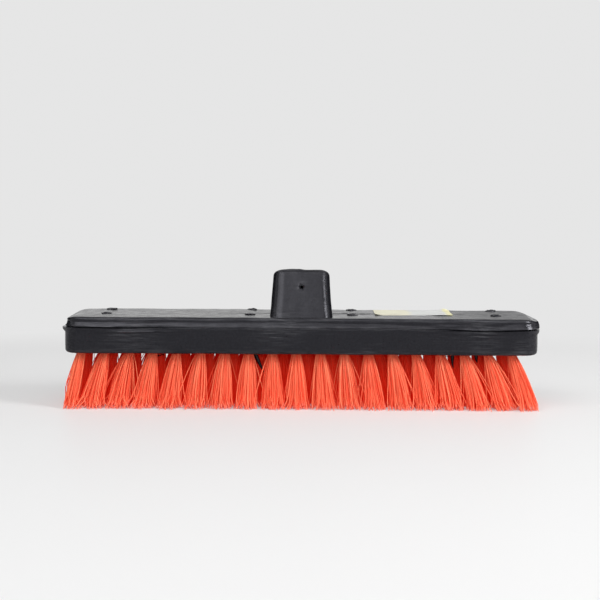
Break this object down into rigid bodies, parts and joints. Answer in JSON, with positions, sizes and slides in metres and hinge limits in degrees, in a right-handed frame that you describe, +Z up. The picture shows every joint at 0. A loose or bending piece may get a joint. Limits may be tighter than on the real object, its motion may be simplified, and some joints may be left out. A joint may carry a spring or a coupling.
{
  "type": "scrub brush",
  "caption": "Floor scrub brush head: black moulded block with a leaning handle socket and rows of short, stiff coral-red tufts fanned outward for scrubbing floors.",
  "frame": {"origin": "on the floor, under the middle of the brush", "axes": "+X along the block to the viewer's right, -Y the front, +Z up"},
  "size_m": [0.306, 0.06, 0.0888],
  "materials": {
    "black_plastic": "recycled black polyolefin, scuffed, with mould seam and flash",
    "coral_filament": "fluorescent coral red drawn filament, cut ends",
    "galvanised_wire": "flat galvanised anchor wire",
    "label_paper": "blank paper label with yellow edge bands"
  },
  "bodies": {
    "block": {"block": "black_plastic", "label": "label_paper", "front_row_anchors": "galvanised_wire", "second_row_anchors": "galvanised_wire", "middle_row_anchors": "galvanised_wire", "fourth_row_anchors": "galvanised_wire", "back_row_anchors": "galvanised_wire"},
    "front_row": {"front_row_left_tufts": "coral_filament", "front_row_middle_tufts": "coral_filament", "front_row_right_tufts": "coral_filament"},
    "second_row": {"second_row_left_tufts": "coral_filament", "second_row_middle_tufts": "coral_filament", "second_row_right_tufts": "coral_filament"},
    "middle_row": {"middle_row_left_tufts": "coral_filament", "middle_row_middle_tufts": "coral_filament", "middle_row_right_tufts": "coral_filament"},
    "fourth_row": {"fourth_row_left_tufts": "coral_filament", "fourth_row_middle_tufts": "coral_filament", "fourth_row_right_tufts": "coral_filament"},
    "back_row": {"back_row_left_tufts": "coral_filament", "back_row_middle_tufts": "coral_filament", "back_row_right_tufts": "coral_filament"}
  },
  "joints": [
    {"name": "front_row_flex", "type": "hinge", "parent": "block", "child": "front_row", "pos_m": [0, -0.02, 0.0358], "axis": [1, 0, 0], "range_deg": [-15, 15], "stiffness_Nm_per_rad": 0.8, "deforming": ["front_row_left_tufts", "front_row_middle_tufts", "front_row_right_tufts"]},
    {"name": "second_row_flex", "type": "hinge", "parent": "block", "child": "second_row", "pos_m": [0, -0.01, 0.0358], "axis": [1, 0, 0], "range_deg": [-15, 15], "stiffness_Nm_per_rad": 0.8, "deforming": ["second_row_left_tufts", "second_row_middle_tufts", "second_row_right_tufts"]},
    {"name": "middle_row_flex", "type": "hinge", "parent": "block", "child": "middle_row", "pos_m": [0, 0, 0.0358], "axis": [1, 0, 0], "range_deg": [-15, 15], "stiffness_Nm_per_rad": 0.8, "deforming": ["middle_row_left_tufts", "middle_row_middle_tufts", "middle_row_right_tufts"]},
    {"name": "fourth_row_flex", "type": "hinge", "parent": "block", "child": "fourth_row", "pos_m": [0, 0.01, 0.0358], "axis": [1, 0, 0], "range_deg": [-15, 15], "stiffness_Nm_per_rad": 0.8, "deforming": ["fourth_row_left_tufts", "fourth_row_middle_tufts", "fourth_row_right_tufts"]},
    {"name": "back_row_flex", "type": "hinge", "parent": "block", "child": "back_row", "pos_m": [0, 0.02, 0.0358], "axis": [1, 0, 0], "range_deg": [-15, 15], "stiffness_Nm_per_rad": 0.8, "deforming": ["back_row_left_tufts", "back_row_middle_tufts", "back_row_right_tufts"]}
  ],
  "couplings": [
    {"joint": "front_row_flex", "follows": "middle_row_flex", "ratio": 1},
    {"joint": "second_row_flex", "follows": "middle_row_flex", "ratio": 1},
    {"joint": "fourth_row_flex", "follows": "middle_row_flex", "ratio": 1},
    {"joint": "back_row_flex", "follows": "middle_row_flex", "ratio": 1}
  ]
}
